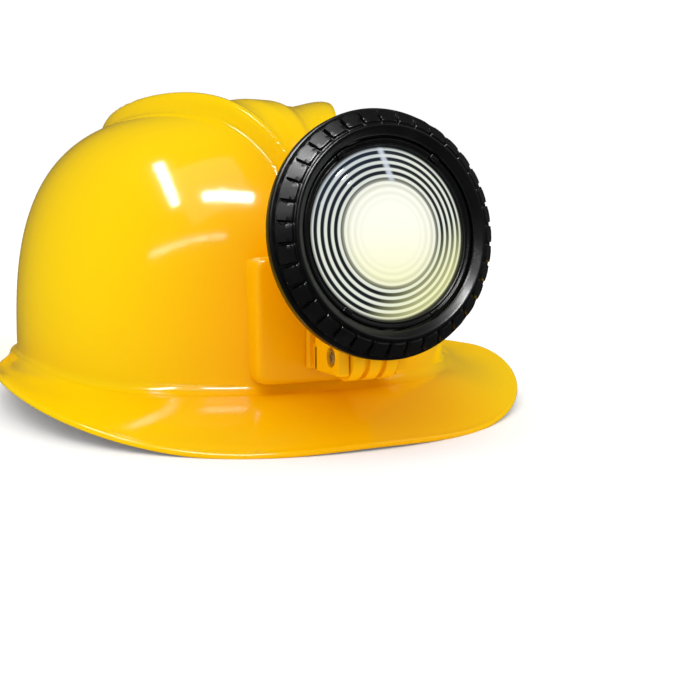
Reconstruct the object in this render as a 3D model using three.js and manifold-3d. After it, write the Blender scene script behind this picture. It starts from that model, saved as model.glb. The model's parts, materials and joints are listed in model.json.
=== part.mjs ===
// A miner's cap with a tilting front lamp: moulded shell, head suspension, hinge bracket and lamp.
// Millimetres. Cap frame: front is -Y, the wearer's left is +X, up is +Z, dome centre at x = y = 0.
import * as THREE from "three";
import { ParametricGeometry } from "three/addons/geometries/ParametricGeometry.js";
import { mergeVertices } from "three/addons/utils/BufferGeometryUtils.js";
import Module from "manifold-3d";

const wasm = await Module();
wasm.setup();

// ---- driving dimensions ----
const gap = 0.3; // clearance between pieces that touch
const degree = Math.PI / 180;
const restTilt = 3.9 * degree; // the cap leans back on its visor and its rear rim
const restPlane = 14.5; // height of the plane that the rim and the visor are trimmed to
const dome = { halfWidth: 100, halfLength: 122, foot: 25.3, height: 114.7 };
const power = { plan: 2.25, level: 3.24, crown: 2.7 };
const wall = 2.5; // moulded thickness of the dome
const lip = { rear: 3.5, visor: 40, thick: 2.6, bottom: 22.7, visorBottom: 3.4, footDrop: 5 };
const crest = { narrow: 4, spread: 52.5, length: 152, frontEnd: 0.8, rearEnd: 0.8 };
const pad = { halfWidth: 31.5, front: -127, bottom: 24, top: 73 };
const pivot = { y: -153.5, z: 37.5, boltRadius: 2.2, boreRadius: 2.5 };
const cheek = { inner: 9.4, outer: 14, front: -160, step: -140, bottom: 31, neckTop: 40.5, top: 44 };
const plate = { halfWidth: 12, bottom: 30, top: 70, thick: 3, screws: [50, 62] };
const screw = { bore: 2.1, shank: 1.75, head: 3.5, headHeight: 2.2, boss: 4.6, washer: 4.5, washerThick: 0.8 };
const slotCut = { half: 0.4, reach: 2, depth: 1 }; // cross recess of a screw
const lamp = { y: -168.6, z: 81.1, tilt: 5.6 * degree };
const bezel = { flange: 43.4, bore: 33.2, skirt: 38.95, blockWidth: 6.1 };
const lens = { rim: 32.4, clear: 30, firstRing: 15, pitch: 2.4, ringHeight: 0.4 };
const cell = { radius: 5.25, length: 43.6, nub: 0.8, spacing: 6.2, depth: -22.3 };
const band = { halfWidth: 80, halfLength: 100, thick: 2, bottom: 20, seam: 41, top: 52 };
const nape = { halfWidth: 84, arm: 45, reach: 56, thick: 2, bottom: 24, top: 40, front: -15, travel: 10 };
const peg = { height: 32, shank: 1.7, bore: 2, head: 3.6, tail: 2.8, from: 75.2, to: 85.6, flange: 1.2 };
const strap = { width: 20, thick: 1.2, reach: 100, base: 51.6, rise: 68 };
const hanger = { angles: [45, 135, 225, 315], bottom: 46, top: 51, keyReach: 5, keyHalf: 9, keyThick: 4, armHalf: 5 };
const facets = 36; // sides of the lamp's turned pieces, one to each grip block

// ---- materials ----
const material = (color, roughness, metalness = 0) =>
  new THREE.MeshStandardMaterial({ color, roughness, metalness });
const yellow = material(0xf2cb04, 0.18);
const black = material(0x0b0b0c, 0.25);
const clear = material(0xe8eef2, 0.05);
const chromed = material(0xd9dce0, 0.08, 1);
const steel = material(0x9a9ca0, 0.35, 1);
const white = material(0xe9e6dc, 0.5);
const grey = material(0x8c8a86, 0.6);
const rubber = material(0x2a2a2c, 0.8);
const foam = material(0x3a3a3e, 0.95);
const webbing = material(0x1e1f22, 0.9);
const glow = material(0xfff6d0, 0.3);
const cellSkin = material(0x2f4f7a, 0.35);

// ---- helpers ----
const solid = (geometry) => {
  const bare = geometry.index ? geometry.toNonIndexed() : geometry.clone();
  bare.deleteAttribute("normal");
  bare.deleteAttribute("uv");
  const merged = mergeVertices(bare, 1e-3);
  const vertProperties = merged.attributes.position.array;
  const triVerts = new Uint32Array(merged.index.array);
  return new wasm.Manifold(new wasm.Mesh({ numProp: 3, vertProperties, triVerts }));
};

const surface = (manifold) => {
  const mesh = manifold.getMesh();
  const geometry = new THREE.BufferGeometry();
  geometry.setAttribute("position", new THREE.BufferAttribute(mesh.vertProperties, 3));
  geometry.setIndex(new THREE.BufferAttribute(mesh.triVerts, 1));
  geometry.computeVertexNormals();
  return geometry;
};

const join = (...pieces) => surface(pieces.map(solid).reduce((a, b) => a.add(b)));
const cut = (body, ...tools) => surface(tools.map(solid).reduce((a, b) => a.subtract(b), solid(body)));

const add = (group, name, geometry, look) => {
  const mesh = new THREE.Mesh(geometry, look);
  mesh.name = name;
  group.add(mesh);
  return mesh;
};

// A block between two corners.
const block = (x0, x1, y0, y1, z0, z1) =>
  new THREE.BoxGeometry(x1 - x0, y1 - y0, z1 - z0).translate((x0 + x1) / 2, (y0 + y1) / 2, (z0 + z1) / 2);

// A cylinder along X, centred at (y, z).
const barrel = (radius, x0, x1, y, z, sides = 18) =>
  new THREE.CylinderGeometry(radius, radius, x1 - x0, sides)
    .rotateZ(Math.PI / 2)
    .translate((x0 + x1) / 2, y, z);

// A turned piece: points are [radius, forward distance], and forward is -Y.
const turned = (points, sides = facets) => {
  const outline = points.map(([r, d]) => new THREE.Vector2(r, d));
  const closed = outline[0].x > 0 || outline.at(-1).x > 0;
  if (closed) outline.push(outline[0].clone());
  if (THREE.ShapeUtils.area(outline) < 0) outline.reverse();
  return new THREE.LatheGeometry(outline, sides).rotateX(Math.PI);
};

// A flat outline [[a, b], ...] in the X-Y plane, extruded from z0 to z1.
const slab = (points, z0, z1) => {
  const outline = new THREE.Shape(points.map(([x, y]) => new THREE.Vector2(x, y)));
  const options = { depth: z1 - z0, bevelEnabled: false, steps: 1 };
  return new THREE.ExtrudeGeometry(outline, options).translate(0, 0, z0);
};

const smooth = (a, b, x) => THREE.MathUtils.smoothstep((x - a) / (b - a), 0, 1);
const steps = (count) => Array.from({ length: count + 1 }, (_, i) => i / count);

// ---- shell ----
// Plan outline: a superellipse. angle 0 is +X, 270 degrees is the front.
const planRadius = (angle, inset = 0) => {
  const across = Math.abs(Math.cos(angle)) / (dome.halfWidth - inset);
  const along = Math.abs(Math.sin(angle)) / (dome.halfLength - inset);
  return (across ** power.plan + along ** power.plan) ** (-1 / power.plan);
};

// How far round an angle is from the front, in degrees, 0 to 180.
const fromFront = (angle) => Math.abs(((angle / degree - 90 + 720) % 360) - 180);

const lipWidth = (angle) => {
  const facing = THREE.MathUtils.clamp((0.25 - Math.sin(angle)) / 1.25, 0, 1);
  return lip.rear + (lip.visor - lip.rear) * smooth(0, 1, facing);
};

// Underside of the lip's edge: level round the back, dropping to the visor's edge at the front.
const lipBottom = (angle) => {
  const away = fromFront(angle);
  const drop = smooth(66, 16, away);
  return lip.bottom - (lip.bottom - lip.visorBottom) * drop + 0.9 * smooth(16, 0, away);
};

// A point of the dome at plan angle, with level 1 at the foot and 0 at the crown.
const domePoint = (angle, level, inset) => {
  const rise = (dome.height - inset) * Math.cos((level * Math.PI) / 2) ** (2 / power.crown);
  const reach = planRadius(angle, inset) * Math.sin((level * Math.PI) / 2) ** (2 / power.level);
  return new THREE.Vector3(reach * Math.cos(angle), reach * Math.sin(angle), dome.foot + rise);
};

// Distance from the axis to the dome at a plan angle and a height.
const wallReach = (angle, z, inset) => {
  const height = (z - dome.foot) / (dome.height - inset);
  return planRadius(angle, inset) * (1 - height ** power.crown) ** (1 / power.level);
};

// Section of the solid cap at an angle, from the crown down the outside and back to the axis.
const fillet = (angle) => 2.2 + 2.8 * smooth(0, 1, -Math.sin(angle));
const domeSteps = 11;
const brimSection = (angle) => {
  const radius = planRadius(angle);
  const round = fillet(angle);
  const width = lipWidth(angle);
  const edge = lipBottom(angle);
  // the brim meets the wall lower down towards the front
  const drop = lip.footDrop * smooth(78, 34, fromFront(angle));
  const foot = dome.foot - drop;
  const root = lip.bottom - drop;
  const top = (u) => foot + (edge + lip.thick - foot) * u ** 1.35;
  const corner = [60, 25].map((a) => [
    radius + round - round * Math.sin(a * degree),
    foot + round - round * Math.cos(a * degree),
  ]);
  const upper = [0, 0.35, 0.7].map((u) => [radius + round + (width - round - 0.5) * u, top(u)]);
  const nose = [
    [radius + width - 0.5, edge + lip.thick],
    [radius + width, edge + lip.thick / 2],
    [radius + width - 0.5, edge],
  ];
  const under = [0.7, 0.35].map((u) => [
    radius - wall - 1 + (width + wall + 0.5) * u,
    root + (edge - root) * u ** 1.35,
  ]);
  return [...corner, ...upper, ...nose, ...under, [radius - wall - 1, root], [0, lip.bottom]];
};
const capStations = domeSteps + brimSection(0).length;
const capPoint = (u, v, target) => {
  const angle = u * 2 * Math.PI;
  const station = Math.round(v * capStations);
  if (station <= domeSteps) {
    // the last dome station stops a fillet's height above the foot
    const level = (station / domeSteps) * (1 - 0.0035 * fillet(angle));
    target.copy(domePoint(angle, Math.min(level, 0.9999), 0));
    return;
  }
  const [r, z] = brimSection(angle)[station - domeSteps - 1];
  target.set(r * Math.cos(angle), r * Math.sin(angle), z);
};
const cavitySteps = 8;
const cavityStations = cavitySteps + 2;
const cavityPoint = (u, v, target) => {
  const angle = u * 2 * Math.PI;
  const station = Math.round(v * cavityStations);
  const low = domePoint(angle, 0.9999, wall);
  if (station <= cavitySteps) target.copy(domePoint(angle, Math.min(station / cavitySteps, 0.9999), wall));
  else if (station === cavitySteps + 1) target.set(low.x, low.y, 0);
  else target.set(0, 0, 0);
};
const roundSteps = 48;
const outward = (geometry) => {
  if (solid(geometry).volume() > 0) return geometry;
  geometry.index.array.reverse();
  return geometry;
};
const capBlank = outward(new ParametricGeometry(capPoint, roundSteps, capStations));
const cavity = outward(new ParametricGeometry(cavityPoint, 36, cavityStations));

// Crown ridges: one crest of three ridges that fans out from the front, sunk into the dome's wall.
// Its section pairs a share of the fan's half width with a height over the dome.
const crestFlank = [[1, -1.5], [1, 0], [0.9, 5.3], [0.81, 9.3], [0.61, 6.4], [0.42, 3], [0.2, 4.3]];
const crestSection = [
  ...crestFlank.map(([share, raise]) => [-share, raise]),
  [0, 4.7],
  ...crestFlank.reverse(),
];
const crestStations = 18;
const fanHalf = (y) => {
  const reach = THREE.MathUtils.clamp((y + dome.halfLength) / crest.length, 0.01, 1.9);
  return crest.narrow + crest.spread * Math.sin((Math.PI / 2) * reach);
};
const crestGeometry = (inset) =>
  new ParametricGeometry(
    (u, v, target) => {
      const along = 2 * v - 1; // -1 front end, 1 rear end
      const end = along < 0 ? crest.frontEnd : crest.rearEnd;
      const taper = Math.sqrt(1 - along ** 6);
      const line = Math.sign(along) * Math.sin((end * Math.abs(along) * Math.PI) / 2) ** (2 / power.level);
      const half = Math.max(fanHalf(line * dome.halfLength) - 1.3 * inset, 0.5);
      const [share, raise] = crestSection[Math.round(u * crestSection.length) % crestSection.length];
      const x = share * half * taper;
      const across = Math.abs(x) / dome.halfWidth;
      const nearest = (Math.asin(across ** (power.level / 2)) * 2) / Math.PI;
      const level = nearest + (end - nearest) * Math.abs(along);
      const reach = Math.sin((level * Math.PI) / 2) ** (2 / power.level);
      const length = Math.max(reach ** power.plan - across ** power.plan, 0) ** (1 / power.plan);
      const y = Math.sign(along) * dome.halfLength * length;
      const high = Math.cos((level * Math.PI) / 2) ** (2 / power.crown);
      const normal = new THREE.Vector3(
        (0.9 * x) / dome.halfWidth ** 2,
        (0.9 * y) / dome.halfLength ** 2,
        high ** 1.7 / dome.height,
      ).normalize();
      const lift = (raise > 0 ? raise * taper : raise) - 1.2 * inset;
      target.set(x, y, dome.foot + high * dome.height).addScaledVector(normal, lift);
    },
    crestSection.length,
    crestStations,
  );
const crestSolid = outward(crestGeometry(0));
const crestHollow = outward(crestGeometry(wall));
const padBlock = block(-pad.halfWidth, pad.halfWidth, pad.front, -100, pad.bottom, pad.top);
const plateHoles = plate.screws.map((z) =>
  new THREE.CylinderGeometry(screw.bore, screw.bore, 40, 16).translate(0, pad.front, z),
);
const restTrim = block(-200, 200, -250, 200, -60, restPlane).rotateX(restTilt);

const cap = new THREE.Group();
cap.rotation.x = -restTilt;
const outerBody = join(capBlank, padBlock, crestSolid);
add(cap, "cap_shell", cut(outerBody, cavity, crestHollow, ...plateHoles, restTrim), yellow);

// ---- head suspension ----
const oval = (halfWidth, halfLength, from, to, count) =>
  steps(count).map((t) => {
    const angle = (from + (to - from) * t) * degree;
    const c = Math.cos(angle);
    const s = Math.sin(angle);
    const r = ((Math.abs(c) / halfWidth) ** 2.1 + (Math.abs(s) / halfLength) ** 2.1) ** (-1 / 2.1);
    return [r * c, r * s];
  });
const arcBand = (halfWidth, halfLength, thick, from, to, count, z0, z1) => {
  const outer = oval(halfWidth, halfLength, from, to, count);
  const inner = oval(halfWidth - thick, halfLength - thick, from, to, count);
  return slab([...outer, ...inner.reverse()], z0, z1);
};
const ringOutline = (inset) => oval(band.halfWidth - inset, band.halfLength - inset, 0, 354, 59);
const upperRing = cut(
  slab(ringOutline(0), band.seam, band.top),
  slab(ringOutline(band.thick), band.seam - 1, band.top + 1),
);
const lowerBand = arcBand(band.halfWidth, band.halfLength, band.thick, 156, 384, 38, band.bottom, band.seam);
const slotHalf = nape.travel + 3;
const slotRise = peg.bore + 0.2;
const pegSlot = block(-100, 100, -slotHalf, slotHalf, peg.height - slotRise, peg.height + slotRise);
add(cap, "headband", cut(join(upperRing, lowerBand), pegSlot), black);

const sweat = { thick: 5, from: 205, to: 335 };
add(
  cap,
  "sweatband",
  arcBand(
    band.halfWidth - band.thick - gap,
    band.halfLength - band.thick - gap,
    sweat.thick,
    sweat.from,
    sweat.to,
    24,
    band.bottom + 1,
    band.top - 1,
  ),
  foam,
);

// The nape band is a U whose straight arms overlap the headband and slide along it.
const napeOutline = (inset) => {
  const back = steps(20).map((t) => {
    const a = Math.PI * t;
    return [(nape.halfWidth - inset) * Math.cos(a), nape.arm + (nape.reach - inset) * Math.sin(a)];
  });
  return [[nape.halfWidth - inset, nape.front], ...back, [-(nape.halfWidth - inset), nape.front]];
};
const napeBand = slab([...napeOutline(0), ...napeOutline(nape.thick).reverse()], nape.bottom, nape.top);
const pegBores = barrel(peg.bore, -100, 100, 0, peg.height, 12);
add(cap, "nape_band", cut(napeBand, pegBores), black);
for (const [side, name] of [
  [-1, "nape_peg_right"],
  [1, "nape_peg_left"],
]) {
  // a button head inside the headband, a shank through its slot and a rivet end outside the nape band
  const shank = barrel(peg.shank, peg.from + 0.4, peg.to - 0.6, 0, peg.height, 12);
  const head = barrel(peg.head, peg.from, peg.from + peg.flange, 0, peg.height, 16);
  const tail = barrel(peg.tail, peg.to - peg.flange, peg.to, 0, peg.height, 16);
  const rivet = join(shank, head, tail);
  if (side < 0) rivet.rotateZ(Math.PI);
  add(cap, name, rivet, white);
}

// Hangers: a key plate flat against the shell's wall and an arm that carries the headband and a strap's end.
hanger.angles.forEach((turn, i) => {
  const angle = turn * degree;
  const c = Math.cos(angle);
  const s = Math.sin(angle);
  const normalX = (Math.sign(c) * Math.abs(c) ** (power.plan - 1)) / dome.halfWidth ** power.plan;
  const normalY = (Math.sign(s) * Math.abs(s) ** (power.plan - 1)) / dome.halfLength ** power.plan;
  const facing = Math.atan2(normalY, normalX);
  const keyAt = wallReach(angle, hanger.top + hanger.keyReach, wall) - 1;
  const [x, y] = oval(band.halfWidth, band.halfLength, turn, turn + 1, 1)[0];
  const armFrom = Math.hypot(x, y) + gap + 1.2;
  const { keyHalf, armHalf } = hanger;
  const keyBottom = hanger.bottom - hanger.keyReach;
  const key = block(-hanger.keyThick, 0, -keyHalf, keyHalf, keyBottom, hanger.top + hanger.keyReach)
    .rotateZ(facing)
    .translate(keyAt * c, keyAt * s, 0);
  const arm = block(armFrom, keyAt - 2, -armHalf, armHalf, hanger.bottom, hanger.top);
  const hook = block(armFrom, armFrom + 2.5, -armHalf, armHalf, hanger.bottom - 4, hanger.top);
  add(cap, "hanger_" + (i + 1), join(key, join(arm, hook).rotateZ(angle)), black);
});

// Crown straps: two arches that cross under the crown, one below the other.
const archStrap = (drop) => {
  const arch = (inset) =>
    steps(24).map((t) => {
      const a = Math.PI * t;
      const reach = Math.sign(Math.cos(a)) * Math.abs(Math.cos(a)) ** 0.75 * (strap.reach - inset);
      return [reach, strap.base + Math.sin(a) * (strap.rise - drop - inset)];
    });
  const outline = [...arch(0), ...arch(strap.thick).reverse()];
  return slab(outline, -strap.width / 2, strap.width / 2).rotateX(Math.PI / 2);
};
add(cap, "crown_strap_upper", archStrap(0).rotateZ(45 * degree), webbing);
add(cap, "crown_strap_lower", archStrap(3).rotateZ(135 * degree), webbing);

// ---- lamp bracket ----
const plateFront = pad.front - gap - plate.thick;
const backPlate = block(
  -plate.halfWidth,
  plate.halfWidth,
  plateFront,
  pad.front - gap,
  plate.bottom,
  plate.top,
);
const neck = block(-10, 10, cheek.step - 2, plateFront + 1, cheek.bottom, cheek.neckTop);
const cheeks = [-1, 1].map((side) => {
  const x = [side * cheek.inner, side * cheek.outer].sort((a, b) => a - b);
  return block(x[0], x[1], cheek.front, cheek.step, cheek.bottom, cheek.top);
});
const yoke = block(
  -cheek.outer,
  cheek.outer,
  cheek.step - 2.5,
  cheek.step,
  cheek.bottom,
  cheek.neckTop,
);
const bosses = plate.screws.map((z) =>
  new THREE.CylinderGeometry(screw.boss, screw.boss, plate.thick, 24).translate(0, plateFront - 1, z),
);
const bossBores = plate.screws.map((z) =>
  new THREE.CylinderGeometry(screw.bore, screw.bore, 30, 16).translate(0, plateFront, z),
);
const pivotBore = barrel(pivot.boreRadius, -30, 30, pivot.y, pivot.z);
const headRecess = barrel(3.6, -cheek.outer - 1, -cheek.outer + 2, pivot.y, pivot.z);
const nutRecess = barrel(4.3, cheek.outer - 2.4, cheek.outer + 1, pivot.y, pivot.z, 6);
add(
  cap,
  "lamp_bracket",
  cut(join(backPlate, neck, yoke, ...cheeks, ...bosses), ...bossBores, pivotBore, headRecess, nutRecess),
  yellow,
);

// Self-tapping screws from inside the shell, each with a washer under its pan head.
plate.screws.forEach((z, i) => {
  const seat = -wallReach(-Math.PI / 2, z + 5, wall) + 3 * gap;
  const washer = cut(
    new THREE.CylinderGeometry(screw.washer, screw.washer, screw.washerThick, 20),
    new THREE.CylinderGeometry(screw.bore, screw.bore, 3, 16),
  ).translate(0, seat + screw.washerThick / 2, z);
  const shankEnd = plateFront - 1.5;
  const headSeat = seat + screw.washerThick + gap;
  const headTop = headSeat + screw.headHeight;
  const shankTop = headSeat + 0.5;
  const shank = new THREE.CylinderGeometry(screw.shank, screw.shank, shankTop - shankEnd, 12);
  shank.translate(0, (shankTop + shankEnd) / 2, z);
  const head = new THREE.CylinderGeometry(screw.head - 0.4, screw.head, screw.headHeight, 20);
  head.translate(0, (headSeat + headTop) / 2, z);
  const { half, reach, depth } = slotCut;
  const cross = [
    block(-reach, reach, headTop - depth, headTop + 1, z - half, z + half),
    block(-half, half, headTop - depth, headTop + 1, z - reach, z + reach),
  ];
  add(cap, "bracket_washer_" + (i + 1), washer, steel);
  add(cap, "bracket_screw_" + (i + 1), cut(join(shank, head), ...cross), steel);
});

// ---- lamp ----
// Lamp frame: origin at the centre of the bezel's rear flange, forward is -Y, up is +Z.
const lampGroup = new THREE.Group();
lampGroup.position.set(0, lamp.y, lamp.z);
lampGroup.rotation.x = -lamp.tilt;
lampGroup.updateMatrix();
cap.add(lampGroup);
const toLamp = lampGroup.matrix.clone().invert();

// Housing: a cup with a front collar, a hinge knuckle below and a hole for the button on top.
const cup = turned([
  [0, -30.4],
  [29.4, -30.4],
  [31, -28.8],
  [32.6, -7.4],
  [34.4, -6],
  [35.5, -4.9],
  [38.4, -4.9],
  [38.4, -1.1],
  [35.5, -1.1],
  [35.5, -2.3],
  [31.9, -2.3],
  [29.6, -28.2],
  [0, -28.2],
]);
const notches = [0, 120, 240].map((turn) =>
  block(-11, 11, 0.9, 5.1, 36.2, 40).rotateY((turn + 60) * degree),
);
const buttonAt = { y: 17, radius: 4.5 };
// A cylinder along the lamp's up direction, centred on the button.
const upright = (radius, z0, z1, sides = 18) =>
  new THREE.CylinderGeometry(radius, radius, z1 - z0, sides)
    .rotateX(Math.PI / 2)
    .translate(0, buttonAt.y, (z0 + z1) / 2);
const buttonHole = upright(4.9, 26, 38);
const knuckleCore = barrel(7.2, -9, 9, pivot.y, pivot.z, 20);
const discs = [-6.7, 0, 6.7].map((x) => barrel(9, x - 2.3, x + 2.3, pivot.y, pivot.z, 20));
const web = block(-7, 7, pivot.y - 5, pivot.y + 5.5, pivot.z, 48.4);
const knuckle = join(knuckleCore, ...discs, web).applyMatrix4(toLamp);
const knuckleBore = barrel(pivot.boreRadius, -20, 20, pivot.y, pivot.z).applyMatrix4(toLamp);
add(lampGroup, "lamp_housing", cut(join(cup, knuckle), ...notches, buttonHole, knuckleBore), yellow);

// Pivot bolt with a cross recess in the head, its nut, and a friction washer beside each cheek.
const headOuter = -cheek.outer + 0.4;
const boltHead = barrel(2.8, headOuter, headOuter + 1.3, pivot.y, pivot.z);
const boltShank = barrel(pivot.boltRadius, headOuter + 1, 13.2, pivot.y, pivot.z, 20);
const recess = [
  block(headOuter - 1, headOuter + 0.8, pivot.y - 0.45, pivot.y + 0.45, pivot.z - 1.8, pivot.z + 1.8),
  block(headOuter - 1, headOuter + 0.8, pivot.y - 1.8, pivot.y + 1.8, pivot.z - 0.45, pivot.z + 0.45),
];
add(lampGroup, "pivot_bolt", cut(join(boltHead, boltShank), ...recess).applyMatrix4(toLamp), steel);
const nut = cut(barrel(3.9, 12, 13.7, pivot.y, pivot.z, 6), barrel(2.5, 10, 16, pivot.y, pivot.z, 20));
add(cap, "pivot_nut", nut, steel);

// Bezel: a conical grip ring with a rear flange, a band of raised blocks and a smooth front lip.
const bezelBase = turned(
  [
    [bezel.bore, 1],
    [bezel.skirt, 1],
    [bezel.skirt, -7],
    [41.4, -7],
    [41.4, -3],
    [bezel.flange, -3],
    [bezel.flange, 0.3],
    [42.9, 0.7],
    [41.4, 0.7],
    [41.2, 1.2],
    [36.8, 6.3],
    [36.8, 7],
    [36.2, 7.4],
    [35.6, 7.1],
    [bezel.bore + 0.3, 5.1],
    [bezel.bore, 4.7],
  ],
);
const slope = Math.atan2(41.2 - 36.8, 6.3 - 1.2);
const gripBlocks = Array.from({ length: facets }, (_, i) =>
  new THREE.BoxGeometry(bezel.blockWidth, 5.9, 3)
    .rotateX(0.16 - slope)
    .translate(0, -3.7, 38.6)
    .rotateY(((i + 0.5) * 2 * Math.PI) / facets),
);
const lugs = [0, 120, 240].map((turn) => block(-8, 8, 5.3, 6.9, 36.4, 39.4).rotateY(turn * degree));
add(lampGroup, "bezel_ring", join(bezelBase, ...gripBlocks, ...lugs), black);

// Retaining ring that snaps in front of the lens with four tabs.
const retainer = turned([
  [30.1, 2.3],
  [32.8, 2.3],
  [32.8, 3.7],
  [32, 4.1],
  [30.1, 3.5],
]);
const tabs = [35, 150, 215, 325].map((turn) =>
  block(-1.4, 1.4, -4.5, -3, 31.2, 32.6).rotateY(turn * degree),
);
add(lampGroup, "lens_retainer", join(retainer, ...tabs), black);

// Lens: a shallow dome with concentric ridges in its outer part.
const lensFront = (r) => 1.9 + 2.4 * (1 - (r / lens.clear) ** 2);
const ridges = [];
for (let r = lens.firstRing; r < lens.clear - 1; r += lens.pitch) {
  ridges.push([r, lensFront(r)]);
  ridges.push([r + lens.pitch / 2, lensFront(r + lens.pitch / 2) + lens.ringHeight]);
}
const lensProfile = [
  [0, -0.5],
  [lens.rim, -0.5],
  [lens.rim, 1.9],
  [lens.clear, 1.9],
  ...ridges.reverse(),
  [lens.firstRing / 2, lensFront(lens.firstRing / 2)],
  [0, lensFront(0)],
];
add(lampGroup, "lens", turned(lensProfile), clear);

// Reflector bowl, rim on the housing's ledge, neck round the bulb holder.
const bowl = steps(4).map((t) => [5.6 + (29.6 - 5.6) * Math.sqrt(t), -11.5 + 9.4 * t]);
const bowlInner = bowl.map(([r, d]) => [r + 0.2, d + 1.1]).reverse();
add(lampGroup, "reflector", turned([...bowl, [35.1, -2], [35.1, -0.9], ...bowlInner]), chromed);
const gasket = new THREE.TorusGeometry(37.1, 0.7, 6, facets).rotateX(Math.PI / 2);
add(lampGroup, "gasket", gasket, rubber);
const glass = [-50, -20, 10, 40, 65].map((a) => [
  3.2 * Math.cos(a * degree),
  -6.5 + 3.2 * Math.sin(a * degree),
]);
const bulb = turned([[0, -13.9], [2.8, -13.9], [2.8, -9.4], [2, -8.9], ...glass, [0, -3.3]], 18);
add(lampGroup, "bulb", bulb, glow);
add(
  lampGroup,
  "bulb_holder",
  turned([[0, -14.9], [5.2, -14.9], [5.2, -10.6], [3.2, -10.6], [3.2, -14.3], [0, -14.3]], 18),
  white,
);

// Cell tray, two cells lying across the lamp, their springs and contact strips.
const tray = join(
  block(-26, 26, 15.2, 16.5, -12, 12),
  block(24.8, 26, 16, 27.4, -12, 12),
  block(-26, -24.8, 16, 27.4, -12, 12),
  block(-24, 24, 16, 22, -0.5, 0.5),
);
add(lampGroup, "cell_tray", tray, white);
const coil = (from, to, z) => {
  const turns = 2.4;
  class Helix extends THREE.Curve {
    getPoint(t, target = new THREE.Vector3()) {
      const a = 2 * Math.PI * turns * t;
      const x = from + 0.45 + (to - from - 0.9) * t;
      return target.set(x, -cell.depth + 3 * Math.cos(a), z + 3 * Math.sin(a));
    }
  }
  const wire = new THREE.Shape().absarc(0, 0, 0.35, 0, 2 * Math.PI);
  return new THREE.ExtrudeGeometry(wire, {
    steps: 22,
    curveSegments: 3,
    extrudePath: new Helix(),
    bevelEnabled: false,
  });
};
for (const [side, label] of [
  [1, "1"],
  [-1, "2"],
]) {
  const z = side * cell.spacing;
  const y = -cell.depth;
  const can = barrel(cell.radius, -20.6, -20.6 + cell.length, y, z);
  const nub = barrel(1.9, 22.5, 23 + cell.nub, y, z, 16);
  const body = join(can, nub);
  if (side < 0) body.translate(0, -y, -z).rotateZ(Math.PI).translate(0, y, z);
  add(lampGroup, "cell_" + label, body, cellSkin);
  const spring = side > 0 ? coil(-23.8, -20.9, z) : coil(20.9, 23.8, z);
  add(lampGroup, "cell_spring_" + label, spring, steel);
  const strip = block(24.1, 24.5, 17.5, 27, -10.8, 10.8);
  if (side < 0) strip.rotateZ(Math.PI).translate(0, -2 * cell.depth, 0);
  add(lampGroup, "contact_strip_" + label, strip, steel);
}

// Push switch on top of the housing.
add(lampGroup, "switch_body", block(-6, 6, 11.5, 22.5, 14, 24.4), grey);
const button = join(upright(buttonAt.radius, 27.6, 35), upright(1.6, 26.8, 28));
add(lampGroup, "switch_button", button, black);

// ---- stand the cap on its visor and rear rim, centred over the origin ----
const part = new THREE.Group();
part.add(cap);
part.updateMatrixWorld(true);
const box = new THREE.Box3().setFromObject(part, true);
const centre = box.getCenter(new THREE.Vector3());
cap.position.set(-centre.x, -centre.y, -box.min.z);
part.updateMatrixWorld(true);

export default part;
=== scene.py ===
import json
import math

import bmesh
import bpy
import numpy as np
from mathutils import Matrix, Vector


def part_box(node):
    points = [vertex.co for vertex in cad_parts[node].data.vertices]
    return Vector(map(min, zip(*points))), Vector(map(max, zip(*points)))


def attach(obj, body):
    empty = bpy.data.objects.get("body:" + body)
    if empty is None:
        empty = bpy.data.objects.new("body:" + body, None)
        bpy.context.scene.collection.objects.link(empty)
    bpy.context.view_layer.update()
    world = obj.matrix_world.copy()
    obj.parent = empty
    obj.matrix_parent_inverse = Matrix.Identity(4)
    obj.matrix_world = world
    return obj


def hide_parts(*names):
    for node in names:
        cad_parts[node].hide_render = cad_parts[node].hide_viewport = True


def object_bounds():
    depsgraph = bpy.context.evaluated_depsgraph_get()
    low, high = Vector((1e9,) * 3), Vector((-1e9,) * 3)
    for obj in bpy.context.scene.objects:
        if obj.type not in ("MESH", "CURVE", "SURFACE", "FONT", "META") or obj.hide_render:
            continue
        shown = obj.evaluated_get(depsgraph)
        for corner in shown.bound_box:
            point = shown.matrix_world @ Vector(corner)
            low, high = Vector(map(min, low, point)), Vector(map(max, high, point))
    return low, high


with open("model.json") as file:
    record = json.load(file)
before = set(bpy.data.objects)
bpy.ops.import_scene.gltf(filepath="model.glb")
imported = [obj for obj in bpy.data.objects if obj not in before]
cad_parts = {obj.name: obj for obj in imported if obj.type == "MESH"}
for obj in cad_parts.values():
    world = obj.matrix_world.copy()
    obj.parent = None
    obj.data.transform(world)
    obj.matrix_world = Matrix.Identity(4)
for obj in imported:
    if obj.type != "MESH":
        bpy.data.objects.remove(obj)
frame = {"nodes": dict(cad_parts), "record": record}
cadLow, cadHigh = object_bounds()
record = frame["record"]
joints = {joint["name"]: joint for joint in record["behaviour"]["joints"]}

# shapes are worked out in millimetres, in the cap's or the lamp's own axes: front is -Y and up is +Z in both,
# the cap leans back by leanBack and the lamp tips up by tipUp
places = {
    "leanBack": 3.9,
    "pivotInCap": (0.0, -153.5, 37.5),
    "lampCentre": (0.0, -168.6, 81.1),
    "tipUp": 5.6,
}


def raiseFront(points, degrees):
    # turns points about X so that the -Y side rises: y' = y cos + z sin, z' = z cos - y sin
    turn = math.radians(degrees)
    x, y, z = np.moveaxis(np.asarray(points, float), -1, 0)
    across = y * math.cos(turn) + z * math.sin(turn)
    height = z * math.cos(turn) - y * math.sin(turn)
    return np.stack([x, across, height], -1)


pivotInFrame = np.array(joints["lamp_tilt"]["pos_m"]) * 1000
capShift = pivotInFrame - raiseFront(places["pivotInCap"], places["leanBack"])


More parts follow.
